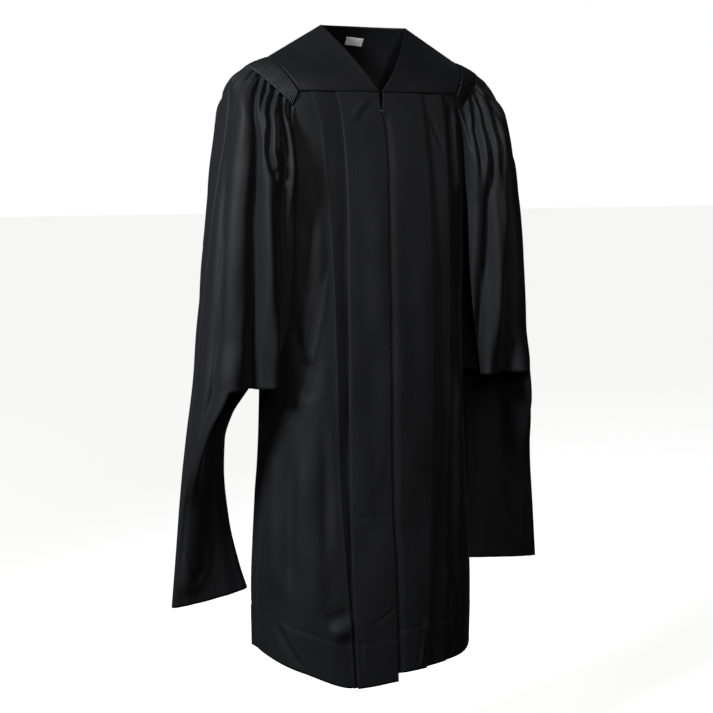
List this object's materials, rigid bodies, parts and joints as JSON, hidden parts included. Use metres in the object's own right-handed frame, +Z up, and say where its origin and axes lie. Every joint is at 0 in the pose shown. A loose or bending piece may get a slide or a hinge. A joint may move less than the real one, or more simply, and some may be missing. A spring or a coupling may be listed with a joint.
{
  "type": "graduation gown",
  "caption": "Open-necked academic gown with yokes, fluted sleeve heads, pleated fronts, centre zip and long closed sleeves with slit mouths, filled out as if worn",
  "frame": {"origin": "midway between the two points where the shoulder seams meet the neck", "axes": "+Z up, front faces -Y, +X is the wearer's left"},
  "size_m": [0.7826, 0.306, 1.2283],
  "materials": {
    "front_right": "matt woven polyester, black",
    "front_left": "matt woven polyester, black",
    "back": "matt woven polyester, black",
    "yoke_front_right": "matt woven polyester, black",
    "yoke_front_left": "matt woven polyester, black",
    "yoke_back": "matt woven polyester, black",
    "neck_label": "woven satin, white",
    "fluting_right": "matt woven polyester, black",
    "fluting_left": "matt woven polyester, black",
    "sleeve_right_front": "matt woven polyester, black",
    "sleeve_right_back": "matt woven polyester, black",
    "sleeve_left_front": "matt woven polyester, black",
    "sleeve_left_back": "matt woven polyester, black",
    "zip_tape_right": "matt woven polyester, black",
    "zip_tape_left": "matt woven polyester, black",
    "zip_chain": "moulded coil, black",
    "zip_slider": "plated, slightly worn",
    "zip_pull_tab": "plated, slightly worn"
  },
  "bodies": {
    "gown": {"front_right": "front_right", "front_left": "front_left", "back": "back", "yoke_front_right": "yoke_front_right", "yoke_front_left": "yoke_front_left", "yoke_back": "yoke_back", "neck_label": "neck_label", "fluting_right": "fluting_right", "fluting_left": "fluting_left", "sleeve_right_front": "sleeve_right_front", "sleeve_right_back": "sleeve_right_back", "sleeve_left_front": "sleeve_left_front", "sleeve_left_back": "sleeve_left_back", "zip_tape_right": "zip_tape_right", "zip_tape_left": "zip_tape_left", "zip_chain": "zip_chain", "zip_slider": "zip_slider"},
    "pull_tab": {"zip_pull_tab": "zip_pull_tab"}
  },
  "joints": [
    {"name": "pull_tab_hinge", "type": "hinge", "parent": "gown", "child": "pull_tab", "pos_m": [0.0005, -0.07561, -0.1313], "axis": [-1, 0, 0], "range_deg": [0, 150]}
  ]
}
